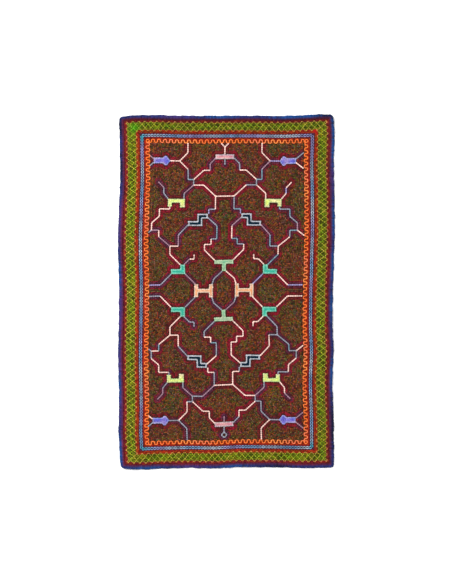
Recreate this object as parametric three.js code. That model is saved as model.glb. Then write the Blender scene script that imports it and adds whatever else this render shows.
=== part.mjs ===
// A Shipibo embroidered cotton cloth, laid flat, with a yarn edging worked round its rim.
// Millimetres, +Z up. +Y runs to the cloth's top end and +X to its right side.
// The origin is on the surface it lies on, under the middle of its outline.

import * as THREE from 'three';
import { mergeVertices } from 'three/addons/utils/BufferGeometryUtils.js';

// Driving dimensions: the straight rectangle that the cloth was cut and edged to.
const CLOTH_WIDTH = 348;
const CLOTH_LENGTH = 571;
const CORNER_RADIUS = 6;
const EDGING_WIDTH = 6.5;
const SEWN_GAP = 0.3;
const BASE_CLOTH = 1.2;

// Half the width of the slope between a band and the next.
const BAND_SLOPE = 0.3;

// The bands along the two ends are worked this much narrower than those along the sides.
const END_BANDS_SHARE = 0.92;

// Stations along each short side and each long side, and steps round each corner.
const WIDTH_STEPS = 18;
const LENGTH_STEPS = 30;
const CORNER_STEPS = 3;

// The embroidered bands from the edging inwards, and how high each stands above the base cloth.
const BANDS = [
  { band: 'crimson line', starts: EDGING_WIDTH + SEWN_GAP, stands: 0.8 },
  { band: 'green lattice', starts: 10.4, stands: 1.1 },
  { band: 'rust line', starts: 28.0, stands: 0.7 },
  { band: 'blue braid', starts: 32.4, stands: 1.4 },
  { band: 'rust ground', starts: 38.8, stands: 0.7 },
  { band: 'orange wave', starts: 42.0, stands: 1.1 },
  { band: 'field', starts: 49.4, stands: 0.7 },
];

// The edging's section, round from its seat against the cloth: under, out, over and back.
const EDGING_SECTION = [
  { inset: EDGING_WIDTH, height: 0.3 },
  { inset: 5.6, height: 0 },
  { inset: 1.4, height: 0 },
  { inset: 0.3, height: 0.5 },
  { inset: 0, height: 1.3 },
  { inset: 0.6, height: 2.4 },
  { inset: 2.2, height: 3.0 },
  { inset: 4.6, height: 2.8 },
  { inset: EDGING_WIDTH, height: 2.0 },
];

// How far each side strays outwards from straight, at places along it from its middle.
const LEFT_SIDE = [
  { at: -285, out: -3.3 },
  { at: -250, out: -0.8 },
  { at: -224, out: 0.7 },
  { at: -185, out: -0.3 },
  { at: -95, out: 1.2 },
  { at: -43, out: 0 },
  { at: 9, out: -0.4 },
  { at: 61, out: 1.3 },
  { at: 86, out: 1.7 },
  { at: 125, out: 0.1 },
  { at: 190, out: -2.4 },
  { at: 229, out: -1.6 },
  { at: 285, out: -0.4 },
];
const RIGHT_SIDE = [
  { at: -285, out: 0.6 },
  { at: -211, out: 0.2 },
  { at: -147, out: -2.1 },
  { at: -95, out: 0.1 },
  { at: -56, out: -2.0 },
  { at: -4, out: -1.3 },
  { at: 48, out: 0.4 },
  { at: 99, out: 2.0 },
  { at: 151, out: 1.4 },
  { at: 203, out: 0.3 },
  { at: 255, out: 1.7 },
  { at: 285, out: -1.2 },
];
const TOP_SIDE = [
  { at: -174, out: -2.0 },
  { at: -150, out: 0.5 },
  { at: -120, out: 1.1 },
  { at: -65, out: -0.4 },
  { at: 33, out: -0.1 },
  { at: 91, out: -0.6 },
  { at: 130, out: 0.8 },
  { at: 159, out: 2.4 },
  { at: 174, out: 1.4 },
];
const BOTTOM_SIDE = [
  { at: -174, out: 0.4 },
  { at: -142, out: 2.6 },
  { at: -110, out: 1.0 },
  { at: -55, out: -0.3 },
  { at: -26, out: 0.7 },
  { at: 23, out: -1.7 },
  { at: 71, out: -1.3 },
  { at: 130, out: 0 },
  { at: 174, out: -0.8 },
];

// Low puckers where the edging draws the rim in and the cloth lifts off the surface.
const PUCKERS = [
  { x: -174, y: -286, reach: 62, rise: 2.2 },
  { x: -176, y: 196, reach: 58, rise: 1.5 },
  { x: -178, y: -40, reach: 50, rise: 0.9 },
  { x: 176, y: -52, reach: 66, rise: 1.6 },
  { x: 178, y: -150, reach: 48, rise: 1.3 },
  { x: 176, y: 286, reach: 54, rise: 1.6 },
  { x: 24, y: -290, reach: 60, rise: 1.2 },
  { x: -60, y: 290, reach: 56, rise: 0.9 },
];

/** A side's outward stray at a place along it, easing from each row of its table to the next. */
function strayOf(side, at) {
  const next = side.findIndex((row) => row.at >= at);
  if (next < 0) return side[side.length - 1].out;
  if (next === 0) return side[0].out;
  const from = side[next - 1];
  const to = side[next];
  return THREE.MathUtils.lerp(from.out, to.out, THREE.MathUtils.smoothstep(at, from.at, to.at));
}

/** How far the puckers lift the cloth at a point: each a round swell that dies out at its reach. */
function liftAt(x, y) {
  return PUCKERS.reduce((lift, pucker) => {
    const share = Math.hypot(x - pucker.x, y - pucker.y) / pucker.reach;
    return lift + (share < 1 ? pucker.rise * (1 - share ** 2) ** 2 : 0);
  }, 0);
}

/** Moves a point of the straight rectangle to where it lies on the real, drawn-in cloth. */
function layOut(x, y, height) {
  const towardsRight = THREE.MathUtils.clamp(x / CLOTH_WIDTH + 0.5, 0, 1);
  const towardsTop = THREE.MathUtils.clamp(y / CLOTH_LENGTH + 0.5, 0, 1);
  const across = THREE.MathUtils.lerp(-strayOf(LEFT_SIDE, y), strayOf(RIGHT_SIDE, y), towardsRight);
  const along = THREE.MathUtils.lerp(-strayOf(BOTTOM_SIDE, x), strayOf(TOP_SIDE, x), towardsTop);
  return new THREE.Vector3(x + across, y + along, height + liftAt(x, y));
}

/** Even places from -half to half. */
function evenPlaces(half, steps) {
  return Array.from({ length: steps + 1 }, (_, i) => half * ((2 * i) / steps - 1));
}

/** How far in from an end a band lies, where it lies this far in from a side. */
function insetFromEnd(inset) {
  const seam = EDGING_WIDTH + SEWN_GAP;
  return inset > seam ? seam + (inset - seam) * END_BANDS_SHARE : inset;
}

/** One turn round the rim, anticlockwise from the bottom left corner, at an inset and a height. */
function rimLoop(inset, height) {
  const halfWidth = CLOTH_WIDTH / 2 - inset;
  const halfLength = CLOTH_LENGTH / 2 - insetFromEnd(inset);
  const radius = Math.max(CORNER_RADIUS - inset, 0);
  const places = [];
  const across = evenPlaces(halfWidth - radius, WIDTH_STEPS);
  const along = evenPlaces(halfLength - radius, LENGTH_STEPS);
  const turnCorner = (centreX, centreY, startAngle) => {
    for (let step = 1; step < CORNER_STEPS; step += 1) {
      const angle = startAngle + ((Math.PI / 2) * step) / CORNER_STEPS;
      places.push([centreX + radius * Math.cos(angle), centreY + radius * Math.sin(angle)]);
    }
  };
  across.forEach((x) => places.push([x, -halfLength]));
  turnCorner(halfWidth - radius, -halfLength + radius, -Math.PI / 2);
  along.forEach((y) => places.push([halfWidth, y]));
  turnCorner(halfWidth - radius, halfLength - radius, 0);
  across.forEach((x) => places.push([-x, halfLength]));
  turnCorner(-halfWidth + radius, halfLength - radius, Math.PI / 2);
  along.forEach((y) => places.push([-halfWidth, -y]));
  turnCorner(-halfWidth + radius, -halfLength + radius, Math.PI);
  return places.map(([x, y]) => layOut(x, y, height));
}

/** The middle of the cloth as rows of points, left to right from the bottom up. */
function fieldGrid(inset, height) {
  const across = evenPlaces(CLOTH_WIDTH / 2 - inset, WIDTH_STEPS);
  const along = evenPlaces(CLOTH_LENGTH / 2 - insetFromEnd(inset), LENGTH_STEPS);
  return along.map((y) => across.map((x) => layOut(x, y, height)));
}

/** Two triangles for each cell of a grid of points, facing the side where rows climb as columns run right. */
function cover(rows, triangles) {
  for (let row = 0; row + 1 < rows.length; row += 1) {
    for (let column = 0; column + 1 < rows[row].length; column += 1) {
      const a = rows[row][column];
      const b = rows[row][column + 1];
      const c = rows[row + 1][column + 1];
      const d = rows[row + 1][column];
      triangles.push(a, b, c, a, c, d);
    }
  }
}

/** Closes each loop on itself, so that a grid of loops covers the whole way round. */
function closeLoops(loops) {
  return loops.map((loop) => [...loop, loop[0]]);
}

/** One closed mesh from loose triangles: shared corners are merged and cells with no width dropped. */
function sewTogether(triangles) {
  const loose = new THREE.BufferGeometry().setFromPoints(triangles);
  const merged = mergeVertices(loose, 1e-3);
  const index = merged.getIndex();
  const kept = [];
  for (let i = 0; i < index.count; i += 3) {
    const [a, b, c] = [index.getX(i), index.getX(i + 1), index.getX(i + 2)];
    if (a !== b && b !== c && c !== a) kept.push(a, b, c);
  }
  merged.setIndex(kept);
  merged.computeVertexNormals();
  return merged;
}

/** The insets and heights of the cloth's upper face, from its rim to the start of its field. */
function upperProfile() {
  const heightOf = (row) => BASE_CLOTH + row.stands;
  const rim = [{ inset: BANDS[0].starts, height: heightOf(BANDS[0]) }];
  const steps = BANDS.slice(1).flatMap((row, i) => [
    { inset: row.starts - BAND_SLOPE, height: heightOf(BANDS[i]) },
    { inset: row.starts + BAND_SLOPE, height: heightOf(row) },
  ]);
  return [...rim, ...steps];
}

/** The cotton cloth with its embroidered bands as low ridges round a level field. */
function embroideredCloth() {
  const upper = upperProfile();
  const field = upper[upper.length - 1];
  const under = [{ inset: field.inset, height: 0 }, { inset: upper[0].inset, height: 0 }];
  const loops = [...under, ...upper].map(({ inset, height }) => rimLoop(inset, height));
  const triangles = [];
  cover(closeLoops(loops), triangles);
  cover(fieldGrid(field.inset, field.height), triangles);
  cover(fieldGrid(field.inset, 0).reverse(), triangles);
  return sewTogether(triangles);
}

/** The yarn edging: one section carried the whole way round the rim. */
function yarnEdging() {
  const loops = EDGING_SECTION.map(({ inset, height }) => rimLoop(inset, height));
  const triangles = [];
  cover(closeLoops([...loops, loops[0]]), triangles);
  return sewTogether(triangles);
}

function namedMesh(name, geometry, colour, roughness) {
  const material = new THREE.MeshStandardMaterial({ color: colour, roughness, metalness: 0 });
  const mesh = new THREE.Mesh(geometry, material);
  mesh.name = name;
  return mesh;
}

const cloth = new THREE.Group();
cloth.add(namedMesh('embroidered_cloth', embroideredCloth(), 0x5f3b24, 0.9));
cloth.add(namedMesh('yarn_edging', yarnEdging(), 0x2c2f68, 0.85));

// Centres the outline over the origin.
const outline = new THREE.Box3().setFromObject(cloth);
const middle = outline.getCenter(new THREE.Vector3());
cloth.position.set(-middle.x, -middle.y, 0);
cloth.updateMatrixWorld(true);

export default cloth;
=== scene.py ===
# %% [markdown]
# # A Shipibo embroidered cloth, laid flat
# The real cloth is one rectangle of cotton. Its maker has covered it from rim to rim with yarn, worked a
# maze of light lines over a brown field, framed the field with five borders, and wrapped the rim in thick
# dark yarn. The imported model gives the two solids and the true, slightly wandering outline. This script
# dresses them: every stitch that shows is a small closed mesh, and the stitches are worked out as whole
# numpy arrays.

import bpy
import numpy as np
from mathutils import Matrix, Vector
from mathutils.bvhtree import BVHTree


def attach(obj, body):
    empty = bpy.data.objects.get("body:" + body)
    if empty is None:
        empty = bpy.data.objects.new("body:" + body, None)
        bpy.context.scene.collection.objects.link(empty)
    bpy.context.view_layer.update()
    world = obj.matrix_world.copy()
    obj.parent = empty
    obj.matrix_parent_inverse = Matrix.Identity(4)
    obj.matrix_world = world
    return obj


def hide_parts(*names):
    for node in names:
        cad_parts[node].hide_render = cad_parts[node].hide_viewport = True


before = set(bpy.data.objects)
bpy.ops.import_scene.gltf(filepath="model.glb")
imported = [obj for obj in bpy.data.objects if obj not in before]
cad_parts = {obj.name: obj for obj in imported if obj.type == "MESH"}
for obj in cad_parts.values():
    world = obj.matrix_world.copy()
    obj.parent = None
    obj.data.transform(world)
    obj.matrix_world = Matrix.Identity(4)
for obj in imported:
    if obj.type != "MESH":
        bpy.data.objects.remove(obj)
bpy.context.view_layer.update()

MM = 0.001
chance = np.random.default_rng(27)
print("nodes:", sorted(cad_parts))

# %% [markdown]
# A few helpers serve all the steps. They work on whole arrays with a row for each stitch, never on one
# stitch.

# %% Helpers
def blend(first, second, share):
    """Two things mixed: the first times one less the share, plus the second times the share."""
    return first * (1 - share) + second * share


def unit(vectors):
    """Vectors of length one, and zero where there was no length."""
    return vectors / (np.linalg.norm(vectors, axis=-1, keepdims=True) + 1e-9)


def square_to(headings):
    """Headings turned a quarter turn to the left: minus the second coordinate, then the first."""
    return np.stack([-headings[..., 1], headings[..., 0]], axis=-1)


def joined(rows):
    """From rows of matching arrays, such as places and headings, each kind joined end to end."""
    return [np.concatenate(kind) for kind in zip(*rows)]


def picked(kept, *kinds):
    """The same rows of each array."""
    return [kind[kept] for kind in kinds]


# %% [markdown]
# ## Where the rim runs
# The embroidery is planned on a straight rectangle, the chart, and then laid onto the real cloth, whose
# sides wander by a few millimetres. The wander could be typed in again, but it is read from the edging
# solid, so that the stitches always follow the model. Each side becomes a short line of outermost points.

# %% The four sides of the rim
STATION = 18.6
CORNER_RADIUS = 6.0


def node_points(name):
    """A CAD node's points in millimetres, one row each."""
    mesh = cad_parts[name].data
    points = np.empty(len(mesh.vertices) * 3)
    mesh.vertices.foreach_get("co", points)
    return points.reshape(-1, 3) / MM


def side_line(points, along, across, outwards):
    """A side as places along it and how far out it lies there: the outermost point near each even place."""
    reach = np.abs(points[:, along]).max() - CORNER_RADIUS
    places = np.linspace(-reach, reach, int(round(2 * reach / STATION)) + 1)
    nearest = np.abs(points[:, along, None] - places).argmin(axis=1)
    furthest = np.full(len(places), -np.inf)
    np.maximum.at(furthest, nearest, points[:, across] * outwards)
    return places, furthest * outwards


edging_points = node_points("yarn_edging")
left_side, right_side = [side_line(edging_points, 1, 0, outwards) for outwards in (-1, 1)]
bottom_side, top_side = [side_line(edging_points, 0, 1, outwards) for outwards in (-1, 1)]
cloth_width = float((right_side[1] - left_side[1]).mean())
cloth_length = float((top_side[1] - bottom_side[1]).mean())
print(f"straight cloth: {cloth_width:.1f} by {cloth_length:.1f} mm")

# %% [markdown]
# ## Laying the chart on the cloth
# A chart point keeps its share of the way from side to side and from end to end, and its height is added
# to the lift of the solid's underside there. The lift comes from rays shot upwards at a coarse grid of
# places, which is enough because the puckers at the rim are wide and low.

# %% From the chart to the cloth
LIFT_STEP = 10.0
RAY_INSET = 3.5
RAY_START = -10.0


def real_place(x, y):
    """Where a chart point lies on the table: the same share of the way between the real sides and ends."""
    left, right = np.interp(y, *left_side), np.interp(y, *right_side)
    bottom, top = np.interp(x, *bottom_side), np.interp(x, *top_side)
    return blend(left, right, x / cloth_width + 0.5), blend(bottom, top, y / cloth_length + 0.5)


def underside_tree():
    """A search tree over both solids, for rays."""
    points, faces = [], []
    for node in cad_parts.values():
        faces += [[number + len(points) for number in face.vertices] for face in node.data.polygons]
        points += [vertex.co[:] for vertex in node.data.vertices]
    return BVHTree.FromPolygons(points, faces)


def even_places(length):
    """Places over one length of the cloth, a lift step apart."""
    half = length / 2 - RAY_INSET
    return np.linspace(-half, half, int(2 * half / LIFT_STEP) + 1)


def lift_grid(xs, ys):
    """Heights of the underside in millimetres on a grid of chart places."""
    real_x, real_y = real_place(*np.meshgrid(xs, ys))
    tree = underside_tree()
    heights = np.zeros(real_x.shape)
    for spot in np.ndindex(real_x.shape):
        start = Vector((real_x[spot], real_y[spot], RAY_START)) * MM
        hit = tree.ray_cast(start, Vector((0, 0, 1)))[0]
        heights[spot] = hit.z / MM if hit else 0.0
    return heights


lift_xs, lift_ys = even_places(cloth_width), even_places(cloth_length)
lifts = lift_grid(lift_xs, lift_ys)
print(f"highest pucker: {lifts.max():.2f} mm")


def cell_and_share(values, marks):
    """Which cell of a line of even marks each value is in, and its share of the way through the cell."""
    steps = np.clip((values - marks[0]) / (marks[1] - marks[0]), 0, len(marks) - 1.001)
    return steps.astype(int), steps % 1


def lay_out(points):
    """Chart points in millimetres, height last, to places on the real cloth in metres.

    The lift at a point is a mean of the grid's four lifts round it, weighted by how near they are.
    """
    x, y, height = np.moveaxis(points, -1, 0)
    (column, right), (row, up) = cell_and_share(x, lift_xs), cell_and_share(y, lift_ys)
    lower = blend(lifts[row, column], lifts[row, column + 1], right)
    upper = blend(lifts[row + 1, column], lifts[row + 1, column + 1], right)
    return np.stack([*real_place(x, y), height + blend(lower, upper, up)], axis=-1) * MM


# %% [markdown]
# ## Dyes
# The maker uses yarns that change colour along their length, so one line runs from pinkish white to grey
# blue and back. A dye is written here as it looks in daylight, from 0 to 255, and turned into the linear
# values that the shader wants. Colours are chosen for each yarn, and drift and chance vary them between
# stitches.

# %% Yarn colours
LAMP_GAIN = 1.12


def dye(red, green, blue):
    """Linear red, green and blue of a colour as the eye sees it, less what the bright lamps add."""
    seen = np.array([red, green, blue]) / 255
    return np.where(seen <= 0.04045, seen / 12.92, ((seen + 0.055) / 1.055) ** 2.4) / LAMP_GAIN


def dyes(*colours):
    """A row of dyes, in the order in which one yarn runs through them."""
    return np.array([dye(*colour) for colour in colours])


def variegated(worked, yarn, repeat, uneven):
    """Colours along a yarn: the length worked, over the repeat, picks a place between two of its dyes."""
    place = (worked / repeat % 1) * len(yarn)
    first = place.astype(int) % len(yarn)
    share = (place % 1)[..., None]
    colour = blend(yarn[first], yarn[(first + 1) % len(yarn)], share * share * (3 - 2 * share))
    return colour * chance.normal(1, uneven, colour.shape[:-1])[..., None].clip(0.55, 1.5)


def drift(places, wavelength, seed):
    """A value from 0 to 1 that wanders smoothly over the cloth: a mean of seven mixed sine waves."""
    mix = np.random.default_rng(seed)
    heading, phase = mix.uniform(0, 2 * np.pi, (2, 7))
    length = wavelength * mix.uniform(0.6, 1.6, 7)
    travelled = places[..., 0, None] * np.cos(heading) + places[..., 1, None] * np.sin(heading)
    waves = np.sin(2 * np.pi * travelled / length + phase)
    return 0.5 + 0.5 * np.clip(waves.mean(axis=-1) * 1.8, -1, 1)


# %% [markdown]
# ## What a stitch is made of
# Seen close, every stitch is a short length of soft yarn: a tube that starts at a point where it comes up
# through the cloth, swells, and goes down at a point again. One function sweeps such tubes for thousands
# of stitches at once. A curve with a bevel could do it too, but not with its own colour for each stitch.

# %% Strands of yarn
def strand_template(stations, sides):
    """Triangles of one tube, and each triangle corner's turn round the yarn and station along it.

    Each cell between two rings gives two triangles. A ring shrunk to a point at an end leaves one of them.
    """
    level, side = np.meshgrid(np.arange(stations - 1), np.arange(sides), indexing="ij")

    def corner(level, side):
        """The number of a corner's point, its turn round the yarn and its station, on the last axis."""
        number = np.minimum((level - 1) * sides + side % sides + 1, (stations - 2) * sides + 1)
        return np.stack([np.where(level == 0, 0, number), side / sides, level], axis=-1)

    a, b, d = corner(level, side), corner(level, side + 1), corner(level + 1, side)
    c = np.where(level[..., None] < stations - 2, corner(level + 1, side + 1), d)
    halves = [np.stack([a, b, c], axis=2)[1:], np.stack([a, c, d], axis=2)[:-1]]
    table = np.concatenate([half.reshape(-1, 3, 3) for half in halves])
    return table[..., 0].astype(int), table[..., 1], table[..., 2].astype(int)


def strand_points(points, widths, heights, sides, sideways=None):
    """Tube surfaces round rows of centre points.

    Each ring point is the centre, plus the cosine of its angle times half the width sideways, plus the sine
    times half the height upwards. Sideways is level and square to the yarn unless it is given.
    """
    along = unit(np.gradient(points, axis=1))
    if sideways is None:
        sideways = unit(np.concatenate([square_to(along), np.zeros((*along.shape[:2], 1))], axis=-1))
    else:
        sideways = np.broadcast_to(sideways[:, None, :], points.shape)
    upwards = np.cross(along, sideways)
    angle = 2 * np.pi * np.arange(sides) / sides
    out = np.cos(angle)[:, None] * (sideways * widths[..., None] / 2)[:, 1:-1, None, :]
    up = np.sin(angle)[:, None] * (upwards * heights[..., None] / 2)[:, 1:-1, None, :]
    rings = points[:, 1:-1, None, :] + out + up
    return np.concatenate([points[:, :1], rings.reshape(len(points), -1, 3), points[:, -1:]], axis=1)


# %% [markdown]
# The arrays go into a mesh in one step each. Each stitch's colour is kept as a point attribute named
# yarn. Its own map has the turn round the yarn across and the millimetres along it upwards, for the twist
# of the plies.

# %% Arrays into meshes
SLOT_OF_CLOTH = "embroidered_cotton"
SLOT_OF_EDGING = "edging_yarn"


def mesh_piece(name, vertices, triangles, finish, colours=None, corner_map=None):
    """A smooth mesh object from whole arrays, riding on the cloth's one body."""
    mesh = bpy.data.meshes.new(name)
    mesh.vertices.add(len(vertices))
    mesh.vertices.foreach_set("co", vertices.astype(np.float32).ravel())
    mesh.loops.add(triangles.size)
    mesh.loops.foreach_set("vertex_index", triangles.astype(np.int32).ravel())
    mesh.polygons.add(len(triangles))
    mesh.polygons.foreach_set("loop_start", np.arange(0, triangles.size, 3, dtype=np.int32))
    mesh.update(calc_edges=True)
    mesh.shade_smooth()
    if colours is not None:
        opaque = np.concatenate([colours, np.ones((len(colours), 1))], axis=1)
        attribute = mesh.color_attributes.new("yarn", "FLOAT_COLOR", "POINT")
        attribute.data.foreach_set("color", opaque.astype(np.float32).ravel())
        layer = mesh.uv_layers.new(name="plies")
        layer.uv.foreach_set("vector", corner_map.astype(np.float32).ravel())
    mesh.materials.append(finish)
    piece = bpy.data.objects.new(name, mesh)
    bpy.context.scene.collection.objects.link(piece)
    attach(piece, "root")
    print(f"{name}: {len(triangles)} triangles")
    return piece


def strand_piece(name, points, widths, heights, colours, finish, sides=4, sideways=None, slot=SLOT_OF_CLOTH):
    """One piece from many strands of the same number of stations, laid onto the cloth."""
    count, stations = points.shape[:2]
    widths, heights = [np.broadcast_to(sizes, (count, stations)) for sizes in (widths, heights)]
    surface = strand_points(points, widths, heights, sides, sideways)
    triangles, turn, station = strand_template(stations, sides)
    every = (triangles[None] + surface.shape[1] * np.arange(count)[:, None, None]).reshape(-1, 3)
    steps = np.linalg.norm(np.diff(points, axis=1), axis=-1)
    length = np.concatenate([np.zeros((count, 1)), np.cumsum(steps, axis=1)], axis=1)
    corner_map = np.stack([np.broadcast_to(turn, (count, *turn.shape)), length[:, station]], axis=-1)
    if colours.ndim == 2:
        colours = np.broadcast_to(colours[:, None, :], (count, stations, 3))
    rings = np.repeat(colours[:, 1:-1], sides, axis=1)
    painted = np.concatenate([colours[:, :1], rings, colours[:, -1:]], axis=1).reshape(-1, 3)
    vertices = lay_out(surface).reshape(-1, 3)
    return mesh_piece(name, vertices, every, finish, painted, corner_map.reshape(-1, 2))


# %% [markdown]
# ## Finishes
# Cotton yarn has no gloss: it scatters light from its fibres, which is what sheen gives at the edges. Two
# plies wind round each other, so a slanting ripple runs along each strand, with painted shade between the
# plies and a little painted highlight on them, and fine noise breaks the dye into fibres.

# %% Nodes for materials
def new_finish(name, roughness, sheen):
    """A material, its node tree and its shader, with the values that are even all over set on the shader."""
    finish = bpy.data.materials.new(name)
    finish.use_nodes = True
    shader = finish.node_tree.nodes["Principled BSDF"]
    even = {"Roughness": roughness, "Sheen Weight": sheen, "Sheen Roughness": 0.45}
    for key, value in {**even, "Specular IOR Level": 0.06}.items():
        shader.inputs[key].default_value = value
    return finish, finish.node_tree, shader


def fill(tree, socket, value):
    """Links another node's output to a socket, or sets a value on the socket itself."""
    if isinstance(value, bpy.types.NodeSocket):
        tree.links.new(value, socket)
    else:
        socket.default_value = value


def add_node(tree, kind, settings=(), **inputs):
    """A node with its settings made and its inputs filled, whose names have _ for each space."""
    node = tree.nodes.new(kind)
    for key, value in dict(settings).items():
        setattr(node, key, value)
    for key, value in inputs.items():
        fill(tree, node.inputs[key.replace("_", " ")], value)
    return node


def maths(tree, operation, *values):
    """The output of one step of arithmetic on numbers and other nodes' outputs."""
    node = add_node(tree, "ShaderNodeMath", {"operation": operation})
    for socket, value in zip(node.inputs, values):
        fill(tree, socket, value)
    return node.outputs[0]


def noise(tree, scale, **settings):
    """Fine noise on object coordinates."""
    place = add_node(tree, "ShaderNodeTexCoord").outputs["Object"]
    return add_node(tree, "ShaderNodeTexNoise", Vector=place, Scale=scale, Detail=3.0, **settings).outputs[0]


def roughen(tree, shader, strength, depth, height):
    """A bump of a depth in millimetres that follows a height."""
    bump = add_node(tree, "ShaderNodeBump", Strength=strength, Distance=depth * MM, Height=height)
    tree.links.new(bump.outputs[0], shader.inputs["Normal"])


# %% [markdown]
# A curve's own stripes could stand for the plies, but stripes drawn on each strand's map turn with the
# strand, wherever it points. So one finish serves yarns of every thickness, with its plies and their lay
# as values.

# %% Cotton yarn
def yarn_finish(name, plies, lay, ply_depth, sheen=0.04):
    """Yarn whose base is the stitch's own colour, with painted shade between its plies and painted light on
    them, and a bump that follows them.

    The ripple is the sine of a full turn times the plies times the turn round the yarn, plus the length over
    the lay, so that the plies run slantwise along the strand.
    """
    finish, tree, shader = new_finish(name, 0.85, sheen)
    spot = add_node(tree, "ShaderNodeUVMap", {"uv_map": "plies"}).outputs[0]
    turn, length, _ = add_node(tree, "ShaderNodeSeparateXYZ", Vector=spot).outputs
    turned = maths(tree, "MULTIPLY", turn, 2 * np.pi * plies)
    slant = maths(tree, "MULTIPLY_ADD", length, 2 * np.pi / lay, turned)
    ripple = maths(tree, "SINE", slant)
    height = maths(tree, "MULTIPLY_ADD", ripple, 0.35, noise(tree, 1400.0, Roughness=0.7))
    # Painted shade and highlight: the ply ripple darkens the colour between the plies and lightens it on
    # them; the fine noise is the fibres' own uneven tone.
    shade = add_node(tree, "ShaderNodeMapRange", Value=height, To_Min=0.7, To_Max=1.12).outputs[0]
    own = add_node(tree, "ShaderNodeAttribute", {"attribute_name": "yarn"}).outputs["Color"]
    tint = add_node(tree, "ShaderNodeVectorMath", {"operation": "SCALE"}, Vector=own, Scale=shade)
    tree.links.new(tint.outputs[0], shader.inputs["Base Color"])
    roughen(tree, shader, 0.6, ply_depth, height)
    return finish


fine_yarn = yarn_finish("fine_cotton_yarn", plies=2, lay=1.6, ply_depth=0.12)
line_yarn = yarn_finish("line_cotton_yarn", plies=2, lay=1.8, ply_depth=0.14)
thick_yarn = yarn_finish("thick_edging_yarn", plies=3, lay=3.2, ply_depth=0.25, sheen=0.05)
print("yarns:", fine_yarn.name, line_yarn.name, thick_yarn.name)

# %% [markdown]
# ## The cotton under the stitches
# The cloth itself shows only as thin dark chinks between stitches, and on the back. Its dark brown is
# partly the cotton's own and partly painted shade for those chinks. It is a plain weave: threads go over
# and under by turns, which two crossed sine ripples give on object coordinates, as a bump and as painted
# shade between the threads. On the back each row of stitches leaves short dashes of its yarn, so there the
# material lays a brickwork of dashes over the weave.

# %% Cotton ground
THREAD_PITCH = 0.9
DASH_LENGTH = 3.0
DASH_ROW = 2.1
DASH_GAP = 0.35


def cotton_finish():
    """Dark brown plain weave, with painted shade in the chinks and between threads, and yarn dashes wherever
    the face looks down.
    """
    finish, tree, shader = new_finish("brown_cotton_weave", 0.9, 0.03)
    place = add_node(tree, "ShaderNodeTexCoord").outputs["Object"]
    apart = add_node(tree, "ShaderNodeSeparateXYZ", Vector=place).outputs
    turns = [maths(tree, "MULTIPLY", apart[axis], np.pi / (THREAD_PITCH * MM)) for axis in (0, 1)]
    weave = maths(tree, "MULTIPLY", *[maths(tree, "SINE", turn) for turn in turns])
    soft = maths(tree, "MULTIPLY_ADD", weave, 0.3, noise(tree, 900.0))
    # Painted shade: the weave ripple darkens the cloth between its threads, and the ramp's browns are made
    # extra dark for the shade in the chinks between stitches.
    cotton = add_node(tree, "ShaderNodeValToRGB", Fac=soft)
    for end, colour in zip(cotton.color_ramp.elements, dyes((30, 14, 13), (70, 38, 28))):
        end.color = (*colour, 1)
    brown, olive, dark = [(*colour, 1) for colour in dyes((120, 74, 44), (92, 88, 48), (58, 32, 26))]
    dashes = add_node(
        tree, "ShaderNodeTexBrick", Vector=place, Scale=1.0, Bias=-0.1, Color1=brown, Color2=olive,
        Mortar=dark, Mortar_Size=DASH_GAP * MM, Mortar_Smooth=0.6, Brick_Width=DASH_LENGTH * MM,
        Row_Height=DASH_ROW * MM)
    facing = add_node(tree, "ShaderNodeNewGeometry").outputs["Normal"]
    upwards = add_node(tree, "ShaderNodeSeparateXYZ", Vector=facing).outputs[2]
    either = add_node(
        tree, "ShaderNodeMix", {"data_type": "RGBA"}, Factor=maths(tree, "LESS_THAN", upwards, -0.3),
        A=cotton.outputs[0], B=dashes.outputs["Color"])
    tree.links.new(either.outputs["Result"], shader.inputs["Base Color"])
    roughen(tree, shader, 0.5, 0.2, soft)
    return finish


# %% [markdown]
# The cotton is one grid of points a few millimetres apart, bent onto the puckers by the same laying out
# as the stitches. A Solidify modifier gives it its thickness, downwards from the face that the stitches
# lie on.

# %% Cotton sheet
COTTON_TOP = 1.2
COTTON_THICKNESS = 1.1
COTTON_INSET = 3.0
COTTON_STEP = 6.0


def cotton_sheet():
    """A grid over the chart at one height, laid out, with its rim tucked inside the edging."""
    halves = [length / 2 - COTTON_INSET for length in (cloth_width, cloth_length)]
    xs, ys = [np.linspace(-half, half, int(2 * half / COTTON_STEP)) for half in halves]
    flat = np.stack(np.meshgrid(xs, ys), axis=-1)
    points = np.concatenate([flat, np.full((*flat.shape[:2], 1), COTTON_TOP)], axis=-1)
    number = np.arange(points.shape[0] * points.shape[1]).reshape(points.shape[:2])
    a, b, c, d = number[:-1, :-1], number[:-1, 1:], number[1:, 1:], number[1:, :-1]
    triangles = np.concatenate([np.stack(half, -1).reshape(-1, 3) for half in ((a, b, c), (a, c, d))])
    piece = mesh_piece("cotton_ground", lay_out(points).reshape(-1, 3), triangles, cotton_finish())
    thick = piece.modifiers.new("thickness", "SOLIDIFY")
    thick.thickness = COTTON_THICKNESS * MM
    thick.offset = -1
    return piece, tuple(2 * half * MM for half in halves)


cotton, cotton_size = cotton_sheet()
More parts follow.
